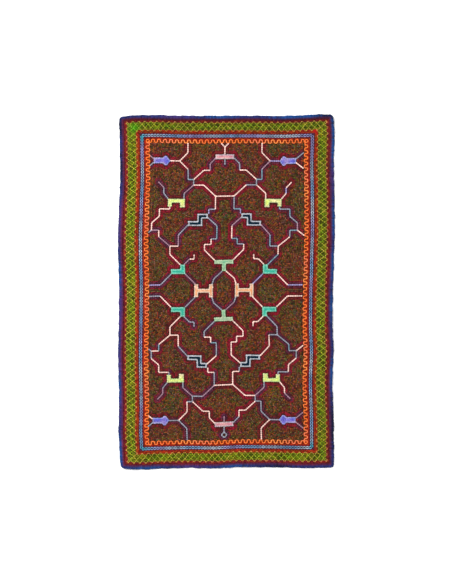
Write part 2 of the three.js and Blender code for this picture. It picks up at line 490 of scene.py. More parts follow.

# %% [markdown]
# ## The chart
# The pattern is a traditional maze of stepped and slanting lines, the same in all four quarters as if
# mirrored left to right and top to bottom. It is charted for one quarter, in stitches from the pattern's
# middle, as an embroiderer counts it. After the points of each line comes one yarn letter for each leg, in
# each quarter in turn: top left, top right, bottom left, bottom right. That is how the changing yarn came
# out.

# %% Lines of the maze
STITCH = 3.0
PATTERN_MIDDLE = np.array([-3.3, 2.0])
QUARTERS = [(-1, 1), (1, 1), (-1, -1), (1, -1)]
LINES = [
    ([(20, 83), (20, 74.5), (24.5, 70), (20, 65.5), (20, 60), (17, 60), (17, 57), (22, 52.5), (22, 49.5)],
     "pppgtgdg ppdttgpp ggppggdg ppggggdg"),
    ([(24.5, 70), (29.5, 70)], "p l g g"),
    ([(43.5, 75), (38.5, 71)], "d g g d"),
    ([(43.5, 65), (38.5, 69)], "g p p d"),
    ([(17, 60), (11.5, 65), (8, 65), (8, 68.5), (5, 71.5)], "ppdd ppgg pppp pppg"),
    ([(17, 57), (11.5, 57), (5, 51), (0, 51)], "ppp gpp gdp ppp"),
    ([(5, 51), (5, 44), (8.5, 44), (8.5, 41.5)], "pgl gtl gpp ppg"),
    ([(30.5, 49.5), (33, 52.5), (33, 55.5), (36, 58.5)], "ggd plp gdd ppd"),
    ([(29.5, 45.5), (29.5, 44), (35, 44), (35, 40), (39, 36.5), (39, 32.5), (35, 32.5), (35, 29), (29, 24),
      (29, 19.5), (23.5, 14)], "pppppdpdpp tgtgdtgppt gpppgptppp ggppggtggg"),
    ([(39, 32.5), (43.5, 29)], "g p g p"),
    ([(29, 24), (24.5, 24), (24.5, 30), (19.5, 35.5)], "pdg gtd ppg gpp"),
    ([(9, 39.5), (4, 35), (4, 28), (7, 28), (7, 25), (10.5, 25), (10.5, 22), (5, 16.5)],
     "gtgpppp dpttgpp pgtppgg ppppppp"),
    ([(1, 10.5), (5.5, 6.5), (6.5, 3.5)], "gg pp gg dg"),
    ([(21.5, 14), (18.5, 17), (16, 17), (16, 19.5)], "dpp ppp ggg ppp"),
    ([(28.5, 9), (34.5, 3), (43.5, 3)], "gl pl pg pp"),
    ([(21, 9), (15.5, 3.5)], "d l g p"),
]
LINE_YARNS = {
    "p": dye(240, 203, 191),
    "g": dye(146, 148, 160),
    "t": dye(122, 150, 164),
    "l": dye(160, 148, 192),
    "d": dye(160, 124, 140),
}

# %% [markdown]
# On the middle line, where the left and right quarters meet, stand the few lines that have no mirror
# image: a stem with a fork at the top end, the same stem with a small diamond at the bottom end, and a
# short spur inside each bar. One table of legs, straight stretches between two corners, then holds the
# whole maze.

# %% Lines on the middle
MIDDLE_LINES = [
    ([(0, 73.5), (0, 77.5), (2, 79.5)], "pp"),
    ([(0, 77.5), (-2, 79.5)], "p"),
    ([(0, 71), (0, 68)], "g"),
    ([(0, -73.5), (0, -76.5), (1.5, -78), (0, -79.5), (-1.5, -78), (0, -76.5)], "ggggg"),
    ([(0, -71), (0, -68)], "d"),
]


def chart_place(points, mirror):
    """Chart stitches to millimetres from the cloth's middle, mirrored."""
    return PATTERN_MIDDLE + np.array(points, float) * np.array(mirror) * STITCH


def all_legs():
    """Every leg of every line as its start, its end and its yarn's letter."""
    lines = [(points, code, mirror) for points, codes in LINES
             for code, mirror in zip(codes.split(), QUARTERS)]
    lines += [(points, code, (1, 1)) for points, code in MIDDLE_LINES]
    rows = []
    for points, code, mirror in lines:
        corners = chart_place(points, mirror)
        rows.append((corners[:-1], corners[1:], list(code)))
    return joined(rows)


leg_starts, leg_ends, leg_letters = all_legs()
leg_lengths = np.linalg.norm(leg_ends - leg_starts, axis=1)
print(f"maze: {len(leg_starts)} legs, {leg_lengths.sum() / 1000:.2f} m of line")

# %% [markdown]
# ## The small filled figures
# Where lines meet, small blocks are filled with a brighter yarn: an arrow, a bracket, a stepped bolt, a
# foot, a tee, a bar and a double post. Each is a closed outline with a pale row just inside its edge and
# its own yarn within. A figure that crosses a mirror line is drawn once for each side that it has no twin
# on.

# %% Filled figures
FIGURES = {
    "arrow": [(29.5, 70), (31.5, 72.5), (32.5, 72.5), (33.5, 71.5), (38.5, 71.5), (38.5, 68.5), (33.5, 68.5),
              (32.5, 67.5), (31.5, 67.5)],
    "bracket": [(21.5, 49.5), (30.5, 49.5), (30.5, 45.5), (28.5, 45.5), (28.5, 47.5), (24, 47.5), (24, 45),
                (21.5, 45)],
    "bolt": [(9, 41.5), (14.5, 41.5), (14.5, 37.5), (19.5, 37.5), (19.5, 35), (12, 35), (12, 39), (9, 39)],
    "foot": [(21, 14), (23.5, 14), (23.5, 11.5), (28.5, 11.5), (28.5, 9), (21, 9)],
    "tee": [(-5, 16.5), (5, 16.5), (5, 14.5), (1, 14.5), (1, 10.5), (-1, 10.5), (-1, 14.5), (-5, 14.5)],
    "bar": [(-5, 73.5), (5, 73.5), (5, 71), (-5, 71)],
    "posts": [(16, 3.5), (14, 3.5), (14, 1), (8, 1), (8, 3.5), (6, 3.5), (6, -3.5), (8, -3.5), (8, -1),
              (14, -1), (14, -3.5), (16, -3.5)],
}
UP_AND_DOWN = [(1, 1), (1, -1)]
LEFT_AND_RIGHT = [(-1, 1), (1, 1)]
FIGURE_SIDES = {"tee": UP_AND_DOWN, "bar": UP_AND_DOWN, "posts": LEFT_AND_RIGHT}
outlines = [(name, chart_place(corners, mirror)) for name, corners in FIGURES.items()
            for mirror in FIGURE_SIDES.get(name, QUARTERS)]
edge_starts = np.concatenate([corners for _, corners in outlines])
edge_ends = np.concatenate([np.roll(corners, -1, axis=0) for _, corners in outlines])
print(f"figures: {len(outlines)}")

# %% [markdown]
# ## Rows that echo the lines
# The maker fills the field with rows that follow the nearest line, each beside the last, until rows from
# two lines meet. To copy that, rows of stitch places are set out beside every leg and round every corner
# at each distance, and a place is kept only where no other line is nearer. Rows meet halfway by
# themselves.

# %% Places beside lines
BLOCK = 8000
NEARER = 0.12


def distance_to(places, starts, ends):
    """Each place's distance to the nearest of some straight legs, and that leg, a block at a time."""
    across = ends - starts
    squares = (across ** 2).sum(axis=1) + 1e-9
    rows = []
    for first in range(0, len(places), BLOCK):
        away = places[first:first + BLOCK, None, :] - starts
        share = np.clip((away * across).sum(axis=-1) / squares, 0, 1)
        gaps = np.linalg.norm(away - share[..., None] * across, axis=-1)
        rows.append((gaps.min(axis=1), gaps.argmin(axis=1)))
    return joined(rows)


def cut(starts, ends, size):
    """Legs cut into equal parts of about one size: each part's leg, its number there and their count."""
    counts = np.maximum(np.round(np.linalg.norm(ends - starts, axis=1) / size), 1).astype(int)
    leg = np.repeat(np.arange(len(starts)), counts)
    return leg, np.arange(len(leg)) - np.repeat(np.cumsum(counts) - counts, counts), counts[leg]


def row_beside(starts, ends, distance, side):
    """Places in a row beside each leg, on one side of it, a stitch apart, and the row's headings."""
    leg, number, count = cut(starts, ends, STITCH)
    share = (number + chance.uniform(0.3, 0.7)) / count
    heading = unit(ends - starts)[leg]
    on_leg = starts[leg] + share[:, None] * (ends - starts)[leg]
    return on_leg + side * distance * square_to(heading), heading


def row_round(corners, distance):
    """Places on a ring round each corner, about a stitch apart, and the ring's headings."""
    count = max(int(round(2 * np.pi * distance / STITCH)), 4)
    angle = 2 * np.pi * np.arange(count) / count
    spokes = np.stack([np.cos(angle), np.sin(angle)], axis=1)
    places = corners[:, None, :] + distance * spokes
    return places.reshape(-1, 2), np.tile(square_to(spokes), (len(corners), 1))


def echo_rows(starts, ends, distances):
    """Rows at all distances, both sides and round all corners, less the places nearer to another leg.

    They come as places, headings, levels, gaps to the nearest leg, and that leg's number.
    """
    corners = np.unique(np.round(np.concatenate([starts, ends]), 3), axis=0)
    rows = []
    for level, distance in enumerate(distances):
        beside = [row_beside(starts, ends, distance, side) for side in (-1, 1)]
        rows += [(*row, np.full(len(row[0]), level)) for row in [*beside, row_round(corners, distance)]]
    places, headings, levels = joined(rows)
    gaps, which = distance_to(places, starts, ends)
    return picked(gaps > np.array(distances)[levels] - NEARER, places, headings, levels, gaps, which)


# %% [markdown]
# Where rows meet, some places all but coincide. Dropping all but one place in each cell of a fine grid,
# and again on the grid moved by half a cell, thins them. The rows nearest the lines come first, so they
# win.

# %% Inside, outside and thinning
def inside_figure(places):
    """Whether each place is in a figure: a ray up from it crosses the outline an odd number of times."""
    inside = np.zeros(len(places), bool)
    x, y = places[:, 0, None], places[:, 1, None]
    for _, corners in outlines:
        after = np.roll(corners, -1, axis=0)
        spans = (corners[:, 0] > x) != (after[:, 0] > x)
        run = after[:, 0] - corners[:, 0]
        rise = (after[:, 1] - corners[:, 1]) / np.where(run == 0, 1, run)
        above = corners[:, 1] + (x - corners[:, 0]) * rise > y
        inside |= (spans & above).sum(axis=1) % 2 == 1
    return inside


def thinned(places, cell):
    """Which places to keep: the first in each cell of a grid, and of the grid moved by half a cell."""
    keep = np.arange(len(places))
    for shift in (0.0, 0.5):
        cells = np.floor(places[keep] / cell + shift).astype(int)
        _, first = np.unique(cells, axis=0, return_index=True)
        keep = keep[np.sort(first)]
    return keep


# %% [markdown]
# ## One stitch
# A filling stitch is a spindle: it rises from a point, is full over its middle and goes down at a point.
# Each is a little longer than its share of the row and set a little slantwise, so that neighbours overlap
# like the strands of a rope. The slant, length and thickness vary by chance, as they do by hand.

# %% Spindle stitches
SPINDLE_STATIONS = np.array([0.0, 0.24, 0.76, 1.0])
SPINDLE_DIPS = np.array([0.45, 0.0, 0.0, 0.45])
ROW_SLANT = 9.0


def spindles(places, headings, stitch, slant=ROW_SLANT):
    """Centre points, widths and heights of slanting stitches at the given places and headings.

    A stitch is its length, width, height and its middle's level. Its ends dip by a share of its height.
    """
    length, width, height, level = stitch
    count = len(places)
    turn = np.radians(slant + chance.normal(0, 3.5, count))[:, None]
    along = headings * np.cos(turn) + square_to(headings) * np.sin(turn)
    reach = length * chance.normal(1, 0.06, count).clip(0.8, 1.2)[:, None]
    middles = places + chance.normal(0, 0.1, (count, 2))
    flat = middles[:, None, :] + (SPINDLE_STATIONS[:, None] - 0.5) * (reach * along)[:, None, :]
    levels = level - SPINDLE_DIPS * height + chance.normal(0, 0.05, count)[:, None]
    fullness = chance.normal(1, 0.07, count).clip(0.8, 1.2)[:, None] * np.ones(len(SPINDLE_STATIONS))
    return np.concatenate([flat, levels[..., None]], axis=-1), width * fullness, height * fullness


# %% [markdown]
# ## The field
# Beside each line lie three dark red rows, and beyond them the rows in brown, olive and rust. Rows from
# the lines meet rows from the field's own edge, which have no red. The maker worked the borders along the
# two ends tighter than those along the sides, so a short table turns an inset from a side into the inset
# from an end.

# %% Field rows
ROW_PITCH = 2.1
RED_ROWS = (2.2, 3.85, 5.5)
RED_EDGE = 6.5
DEEPEST_ROW = 30.0
FIELD_INSET = 49.4
FIELD_MARGIN = 0.8
SIDE_INSETS = (0, 6.8, 13.1, 25.8, 35.4, 44.8, 49.4)
END_INSETS = (0, 6.8, 12.0, 23.4, 32.5, 41.3, 45.4)
BOX_CORNERS = np.array([(-1, -1), (1, -1), (1, 1), (-1, 1)])


def end_inset(inset):
    """How far in from an end a band lies, where it lies this far in from a side."""
    return np.interp(inset, SIDE_INSETS, END_INSETS)


field_half = np.array([cloth_width / 2 - FIELD_INSET, cloth_length / 2 - end_inset(FIELD_INSET)])
guide_starts = np.concatenate([leg_starts, edge_starts])
guide_ends = np.concatenate([leg_ends, edge_ends])


def depth_in_field(places):
    """How far each place lies inside the field's edge, less than nothing when it is outside."""
    return (field_half - np.abs(places)).min(axis=1)


def echo_of_lines():
    """The red and the filling rows that follow the maze: places, headings, levels and nearest legs."""
    fill_rows = np.arange(RED_EDGE + ROW_PITCH / 2, DEEPEST_ROW, ROW_PITCH)
    places, headings, levels, gaps, which = echo_rows(guide_starts, guide_ends, [*RED_ROWS, *fill_rows])
    depth = depth_in_field(places)
    nearer = (levels < len(RED_ROWS)) | (gaps - RED_EDGE <= depth)
    return picked(nearer & (depth > FIELD_MARGIN) & ~inside_figure(places), places, headings, levels, which)


def echo_of_edge():
    """Filling rows that follow the field's edge, as far in as they are nearer to it than to the maze."""
    rows = []
    for inset in np.arange(ROW_PITCH / 2, DEEPEST_ROW, ROW_PITCH):
        corners = (field_half - inset) * BOX_CORNERS
        rows.append(row_beside(corners, np.roll(corners, -1, axis=0), 0.0, 1))
    places, headings = joined(rows)
    gaps, _ = distance_to(places, guide_starts, guide_ends)
    return picked((gaps - RED_EDGE > depth_in_field(places)) & ~inside_figure(places), places, headings)


maze_places, maze_headings, maze_levels, nearest_leg = echo_of_lines()
is_red = maze_levels < len(RED_ROWS)
edge_places, edge_headings = echo_of_edge()
print(f"red stitches: {is_red.sum()}, filling stitches: {(~is_red).sum() + len(edge_places)}")

# %% [markdown]
# Beside grey blue lines the first two red rows are plum, and beside pinkish white ones crimson, because
# the same length of changing yarn was used. The filling's yarn is chosen stitch by stitch from six dyes.
# A slow drift makes some cells greener and some redder, and chance mixes neighbours, which gives the
# field its lively brown.

# %% Field stitches
FIELD_DYES = dyes((56, 66, 32), (80, 76, 30), (95, 64, 34), (110, 62, 30), (124, 50, 28), (98, 32, 30))
PLUM = dyes((108, 48, 78), (94, 42, 64), (118, 46, 64))
CRIMSON = dyes((156, 24, 42), (108, 36, 38), (132, 44, 36), (156, 26, 54))
RED_SHADES = np.array([0.52, 0.66, 0.58])
RED_REPEAT = 60.0
RED_UNEVEN = 0.34
RED_STITCH = (3.8, 2.0, 1.6, 1.3)
FIELD_STITCH = (3.6, 1.95, 1.6, 1.25)
FIELD_MIDDLE = 2.4
FIELD_LEAN = 2.8
FIELD_HUE = (1.0, 1.03, 0.95)
FIELD_HUE_SPREAD = (0.04, 0.12, 1.0)


def field_colours(places):
    """A dye for each stitch: slow and quick drifts and chance add up to a place in the row of six dyes."""
    lean = 0.55 * drift(places, 90, 3) + 0.3 * drift(places, 22, 4) - 0.42
    pick = FIELD_MIDDLE + FIELD_LEAN * lean + chance.normal(0, 1.0, len(places))
    first, share = cell_and_share(pick, np.arange(len(FIELD_DYES)))
    colour = blend(FIELD_DYES[first], FIELD_DYES[first + 1], share[:, None])
    hue = chance.normal(FIELD_HUE, FIELD_HUE_SPREAD, colour.shape).clip(0.3, 3.5)
    return colour * hue * chance.normal(0.95, 0.4, len(places))[:, None].clip(0.25, 1.9)


def red_colours(places, legs, levels):
    """Plum in two rows beside grey and lilac yarns, crimson elsewhere, each row in its own shade."""
    letters = np.append(leg_letters, np.full(len(edge_starts), "p"))[legs]
    plum = np.isin(letters, ["g", "l", "t", "d"]) & (levels < 2)
    worked = 70 * drift(places, 60, 8) + chance.normal(0, 9, len(places))
    crimson = variegated(worked, CRIMSON, RED_REPEAT, RED_UNEVEN)
    shades = np.where(plum[:, None], variegated(worked, PLUM, RED_REPEAT, RED_UNEVEN), crimson)
    return shades * RED_SHADES[levels][:, None]


def work_field():
    """The crimson and plum rows, then the filling in an upper and a lower piece."""
    keep = np.flatnonzero(is_red)[thinned(maze_places[is_red], 1.2)]
    places, headings, legs, levels = picked(keep, maze_places, maze_headings, nearest_leg, maze_levels)
    shape = spindles(places, headings, RED_STITCH)
    strand_piece("crimson_rows", *shape, red_colours(places, legs, levels), fine_yarn)
    places, headings = joined([picked(~is_red, maze_places, maze_headings), (edge_places, edge_headings)])
    places, headings = picked(thinned(places, 1.35), places, headings)
    upper = places[:, 1] > 0
    for name, part in (("field_rows_upper", upper), ("field_rows_lower", ~upper)):
        shape = spindles(places[part], headings[part], FIELD_STITCH)
        strand_piece(name, *shape, field_colours(places[part]), fine_yarn)


work_field()

# %% [markdown]
# ## The light lines
# The lines are chain stitch: each link is a loop of yarn that comes up inside the link before it, so two
# legs leave one point, bow apart and close again. Two bowed strands for each link give that plait of
# small drops.

# %% Chain stitch
LINK_STATIONS = np.linspace(0, 1, 6)
LINK_RISE = 0.35
LINE_WIDTH = 2.3
LINE_YARN = 1.2
LINE_LEVEL = 1.8
LINE_OVERLAP = 1.12
LINE_REACH = 0.6


def chain_links(starts, ends, width, thickness, level, overlap):
    """Two strands for each link from its start to a little past its end.

    Each strand's distance from the middle is half the room between the strands times the sine of half a turn
    over the link. Its height is the same sine less a slope, so that a link ends under the next.
    """
    along = (ends - starts)[:, None, :] * (LINK_STATIONS * overlap)[:, None]
    bow = np.sin(np.pi * LINK_STATIONS ** 0.85)[:, None] * (width - thickness) / 2
    height = level + LINK_RISE * (np.sin(np.pi * LINK_STATIONS) - LINK_STATIONS)
    strands = []
    for side in (-1, 1):
        flat = starts[:, None, :] + along + side * bow * square_to(unit(ends - starts))[:, None, :]
        strands.append(np.concatenate([flat, np.broadcast_to(height, flat.shape[:2])[..., None]], axis=-1))
    return np.concatenate(strands)


def links_on(starts, ends, size):
    """Cuts legs into links of about the given size: their starts, their ends and the leg each is on."""
    leg, number, count = cut(starts, ends, size)
    step = (ends - starts)[leg] / count[:, None]
    first = starts[leg] + number[:, None] * step
    return first, first + step, leg


def work_lines():
    """All legs in chain stitch, each in its own yarn, as far as the field's edge."""
    first, last, leg = links_on(leg_starts, leg_ends, STITCH)
    first, last, leg = picked(depth_in_field((first + last) / 2) > -LINE_REACH, first, last, leg)
    yarns = np.array([LINE_YARNS[letter] for letter in leg_letters])[leg]
    colours = yarns * chance.normal(1, 0.11, len(leg))[:, None].clip(0.6, 1.3)
    points = chain_links(first, last, LINE_WIDTH, LINE_YARN, LINE_LEVEL, overlap=LINE_OVERLAP)
    strand_piece("maze_lines", points, LINE_YARN, LINE_YARN, np.tile(colours, (2, 1)), line_yarn, sides=5)


work_lines()

# %% [markdown]
# ## Inside the figures
# The same echo rows fill the figures, only inwards: the first row, just inside the outline, is in the
# pale yarn, and the rows within are in the figure's own. Short padding stitches lie under them, so that
# no cotton shows.

# %% Figure rows
FIGURE_YARNS = {
    "arrow": dyes((124, 132, 196), (74, 80, 186)),
    "bracket": dyes((184, 206, 132), (200, 216, 112)),
    "bolt": dyes((172, 176, 184), (2, 32, 48)),
    "foot": dyes((116, 184, 162), (58, 168, 144)),
    "tee": dyes((148, 186, 148), (100, 166, 128)),
    "bar": dyes((172, 152, 162), (196, 126, 142)),
    "posts": dyes((204, 178, 156), (214, 142, 82)),
}
CHANGED_YARN = dye(226, 190, 174)
YARN_CHANGES = {"arrow": 0.4, "bracket": 0.55, "tee": 0.3, "bar": 0.4, "posts": 0.5}
FIGURE_ROWS = (0.85, 2.5, 4.15)
FIGURE_STITCH = (3.9, 2.25, 1.5, 1.6)
PADDING_STITCH = (2.6, 2.2, 1.5, 1.35)
PADDING_STEP = 1.5
PADDING_EDGE = 0.8
PALE_EDGE = 1.7


def padding_places():
    """A fine grid of places inside the figures, each one's nearest leg, and 1 where it is deep inside."""
    low, high = edge_starts.min(axis=0), edge_starts.max(axis=0)
    columns, rows = [np.arange(low[axis], high[axis], PADDING_STEP) for axis in (0, 1)]
    grid = np.stack(np.meshgrid(columns, rows), axis=-1).reshape(-1, 2)
    grid = grid[inside_figure(grid)]
    gaps, which = distance_to(grid, edge_starts, edge_ends)
    return picked(gaps > PADDING_EDGE, grid, which, (gaps > PALE_EDGE).astype(int))


def figure_colours(places, which, deep):
    """Each figure's pale or inner yarn, more pinkish the higher a drift is, where its yarn changed."""
    owner = np.repeat([name for name, _ in outlines], [len(corners) for _, corners in outlines])
    yarns = np.array([FIGURE_YARNS[name] for name in owner])
    changes = np.array([YARN_CHANGES.get(name, 0.0) for name in owner])
    change = (changes[which] * drift(places, 15.0, 12) ** 1.5)[:, None]
    colours = blend(yarns[which, deep], CHANGED_YARN, change)
    return colours * chance.normal(1, 0.13, len(which))[:, None].clip(0.6, 1.3)


def work_figures():
    """Rows inside each figure's outline, pale first, over padding."""
    places, headings, levels, _, which = echo_rows(edge_starts, edge_ends, FIGURE_ROWS)
    rows = picked(inside_figure(places), places, headings, which, np.minimum(levels, 1))
    places, headings, which, deep = picked(thinned(rows[0], 0.9), *rows)
    padding, beside, padding_deep = padding_places()
    colours = figure_colours(*joined([(places, which, deep), (padding, beside, padding_deep)]))
    upper = spindles(places, headings, FIGURE_STITCH)
    lower = spindles(padding, np.tile([1.0, 0.0], (len(padding), 1)), PADDING_STITCH, slant=0.0)
    strand_piece("figure_rows", *joined([upper, lower]), colours, line_yarn)


work_figures()

# %% [markdown]
# ## Walking round the borders
# Each border runs along four sides and turns at mitred corners. A walker measures along a side and
# inwards from the rim, and is held back to the mitre line where two sides meet. Sides are numbered from
# the bottom one, anticlockwise, so the ends of the cloth have even numbers.

# %% Sides and mitres
HALF = np.array([cloth_width / 2, cloth_length / 2])
SIDE_CORNERS = BOX_CORNERS * HALF
SIDE_HEADINGS = np.array([(1, 0), (0, 1), (-1, 0), (0, -1)])
SIDE_INWARDS = square_to(SIDE_HEADINGS)
SIDE_LENGTHS = 2 * HALF[[0, 1, 0, 1]]
BORDERS_RIGHT = np.array([0.2, 0.0])
SIDE_SHADES = np.array([0.8, 0.74, 0.52, 1.04])


def side_shade(places):
    """How light the outer yarns are on the side nearest to each place: the left is the lightest."""
    x, y = places.T
    depths = np.stack([y + HALF[1], HALF[0] - x, HALF[1] - y, x + HALF[0]])
    return SIDE_SHADES[depths.argmin(axis=0)][:, None]


def mitre_at(side, inset):
    """How far along a side from its corner the mitre line lies at an inset."""
    return np.where(side % 2 == 0, inset, end_inset(inset))


def border_place(side, along, inset):
    """Chart places from a side's number, the length along it and the inset, held back to the mitre lines."""
    inwards = np.where(side % 2 == 0, end_inset(inset), inset)
    mitre = mitre_at(side, inset)
    held = np.clip(along, mitre, SIDE_LENGTHS[side] - mitre)
    corner = SIDE_CORNERS[side] + BORDERS_RIGHT
    return corner + held[..., None] * SIDE_HEADINGS[side] + inwards[..., None] * SIDE_INWARDS[side]


def border_row(inset):
    """Even places along all four sides at one inset: places, headings and the length walked so far."""
    rows = []
    so_far = 0.0
    for side in range(4):
        mitre = mitre_at(side, inset)
        length = SIDE_LENGTHS[side] - 2 * mitre
        count = int(round(length / STITCH))
        along = mitre + (np.arange(count) + 0.5) * length / count
        places = border_place(np.full(count, side), along, np.full(count, inset))
        rows.append((places, np.tile(SIDE_HEADINGS[side], (count, 1)), so_far + along))
        so_far += length
    return joined(rows)


print("sides in order:", SIDE_LENGTHS.round(1))

# %% [markdown]
# ## Plain rows in the borders
# Under and beside the fancier stitches run plain rows: crimson next to the edging, green under the
# lattice, and rust on both sides of the blue braid and under the orange wave. Each band is a few insets,
# a changing yarn, the level of its stitches and how far it takes the shade of its side. A band begun
# again shows a fresher yarn.

# %% Border rows
PLAIN_BANDS = {
    "maroon_rows": ((8.3, 10.1, 11.9), dyes((124, 30, 26), (112, 24, 40), (132, 40, 16), (120, 26, 30)),
                    1.3, 0.8),
    "green_rows": ((13.6, 15.6, 17.6, 19.6, 21.6, 23.6, 25.6),
                   dyes((84, 100, 0), (112, 124, 4), (70, 66, 0), (92, 120, 2), (120, 110, 6), (60, 74, 0)),
                   1.2, 0.4),
    "rust_rows": ((27.6, 29.4, 31.2), dyes((146, 50, 6), (150, 36, 10), (138, 58, 8), (148, 28, 20)),
                  1.3, 0.4),
    "wave_ground_rows": ((40.7, 42.5, 44.3), dyes((150, 36, 8), (142, 48, 8), (156, 30, 10)), 1.25, 0.4),
    "wave_inner_rows": ((46.1, 47.9), dyes((136, 70, 18), (118, 56, 18), (144, 62, 14)), 1.2, 0.4),
}
FRESH_YARNS = [
    ("green_rows", (-150, 265), 8.5, dye(64, 134, 4)),
    ("lattice_lines", (-150, 265), 8.5, dye(108, 180, 30)),
    ("rust_rows", (143, 259), 5, dye(184, 16, 22)),
    ("blue_braid", (-138, 252), 7, dye(56, 166, 184)),
    ("blue_braid", (138, -252), 6, dye(64, 160, 182)),
    ("blue_braid", (-138, -252), 6, dye(64, 160, 182)),
]
ROW_START = 53.0
ROW_WANDER = 9.0
PLAIN_STITCH = (3.9, 2.15, 1.45)
PLAIN_CHANGES = (110.0, 0.34)


def fresh_yarn(places, colours, name):
    """Mixes in a fresh, brighter yarn round each place where the band was begun again, by a bell curve."""
    for band, middle, reach, bright in FRESH_YARNS:
        if band == name:
            share = np.exp(-((places - np.array(middle)) ** 2).sum(axis=1) / reach ** 2)[:, None]
            colours = blend(colours, bright, share)
    return colours


def work_plain_band(name, insets, yarn, level, shaded):
    """Slanting stitches along every row of a band."""
    rows = [border_row(inset) for inset in insets]
    places, headings, walked = joined(rows)
    walked = walked + np.repeat(ROW_START * np.arange(len(rows)), [len(row[0]) for row in rows])
    walked = walked + chance.normal(0, ROW_WANDER, len(walked))
    shape = spindles(places, headings, (*PLAIN_STITCH, level))
    colours = variegated(walked, yarn, *PLAIN_CHANGES) * side_shade(places) ** shaded
    strand_piece(name, *shape, fresh_yarn(places, colours, name), fine_yarn)


for band, settings in PLAIN_BANDS.items():
    work_plain_band(band, *settings)

# %% [markdown]
# ## The green lattice
# Over the green rows the maker lays a lattice: slanting lines of lime yarn in both directions, whose ends
# reach past the green and are tied off in tan, which gives the border its saw teeth. Each line is a row
# of stitches from the outer inset to the inner one. It leans one and a half pitches along the side on its
# way, so that the teeth inside stand between the teeth outside.

# %% Lattice lines
LATTICE_OUTER = 10.3
LATTICE_INNER = 29.0
LATTICE_FOOT = 12.2
LATTICE_COUNTS = (33, 59)
LATTICE_LEAN = 1.5
LATTICE_STITCH = (1.25, 1.0, 1.85)
LATTICE_START = 311
TAN_CHANGES = (90.0, 0.18)
LIME_CHANGES = (70.0, 0.22)
TIED = np.array([1.0, 0.55, 0.1, 0.0, 0.1, 0.45, 1.0])
LIME = dyes((182, 186, 46), (144, 174, 26), (200, 186, 70), (162, 166, 36), (132, 178, 30))
TAN = dyes((196, 144, 62), (188, 156, 66), (200, 132, 76))


def lattice_feet():
    """For each side and heading, the side's number, each line's foot along it, and how far it leans."""
    rows = []
    for side in range(4):
        count = LATTICE_COUNTS[side % 2]
        pitch = (SIDE_LENGTHS[side] - 2 * LATTICE_FOOT) / count
        foot = LATTICE_FOOT + np.arange(-2, count + 3) * pitch
        for lean in (-LATTICE_LEAN, LATTICE_LEAN):
            rows.append((np.full(len(foot), side), foot, np.full(len(foot), lean * pitch)))
    return [kind[:, None] for kind in joined(rows)]


def work_lattice():
    """Every lattice line cut into equal stitches, tan at its two ends and lime between."""
    side, foot, lean = lattice_feet()
    share = np.linspace(0, 1, len(TIED) + 1)
    along = foot + lean * share
    side, inset = np.broadcast_arrays(side, blend(LATTICE_OUTER, LATTICE_INNER, share))
    ends = border_place(side, along, inset)
    first, last = ends[:, :-1].reshape(-1, 2), ends[:, 1:].reshape(-1, 2)
    mitre = mitre_at(side, inset)
    on_side = (along > mitre) & (along < SIDE_LENGTHS[side] - mitre)
    whole = (on_side[:, :-1] | on_side[:, 1:]).ravel()
    tied = np.tile(TIED, len(foot))[:, None]
    worked = (foot + LATTICE_START * side[:, 1:]).ravel()
    tan = variegated(worked, TAN, *TAN_CHANGES)
    lime = variegated(worked, LIME, *LIME_CHANGES)
    colours = blend(tan, lime, 1 - tied)
    middles, headings, colours = picked(whole, (first + last) / 2, unit(last - first), colours)
    colours = fresh_yarn(middles, colours * side_shade(middles) ** 0.4, "lattice_lines")
    size = np.linalg.norm(last - first, axis=1)[whole].mean()
    shape = spindles(middles, headings, (size, *LATTICE_STITCH), slant=0.0)
    strand_piece("lattice_lines", *shape, colours, line_yarn)


work_lattice()

# %% [markdown]
# ## The blue braid
# Between the rust rows runs one wide braid. It is the chain stitch again, only so wide that its dark
# middle shows: two legs over rows of navy, which give its dark holes, and two plum rows at its edges that
# are painted shadow of the raised braid on the rust beside it. Its yarn changes through greyish blues,
# named here by a letter for each stretch, a line for each side, from the bottom left corner anticlockwise.

# %% Braid
BRAID_INSET = 36.1
BRAID_GROUND = (-2.9, -1.0, 1.0, 2.9)
BRAID_GROUND_STITCH = (3.9, 2.0, 1.3, 1.2)
BRAID_WIDTH = 4.8
BRAID_LINK = 4.72
BRAID_YARN = 1.35
BRAID_THICKNESS = 1.4
BRAID_LEVEL = 1.75
BRAID_OVERLAP = 1.1
BRAID_UNEVEN = 0.16
BRAID_YARNS = {
    "b": dye(112, 146, 182),
    "g": dye(144, 160, 180),
    "v": dye(138, 136, 180),
    "w": dye(164, 176, 190),
}
BRAID_RUN = (
    "bbvggbbwwvvbbggbbwg"
    "gbbggbbwwbbggbbvvbbggvvwwbbggvv"
    "vvwwggvvbbggvvbbggb"
    "vvggbbvvggwwbbbggbbvvbbwwggvvbb"
)


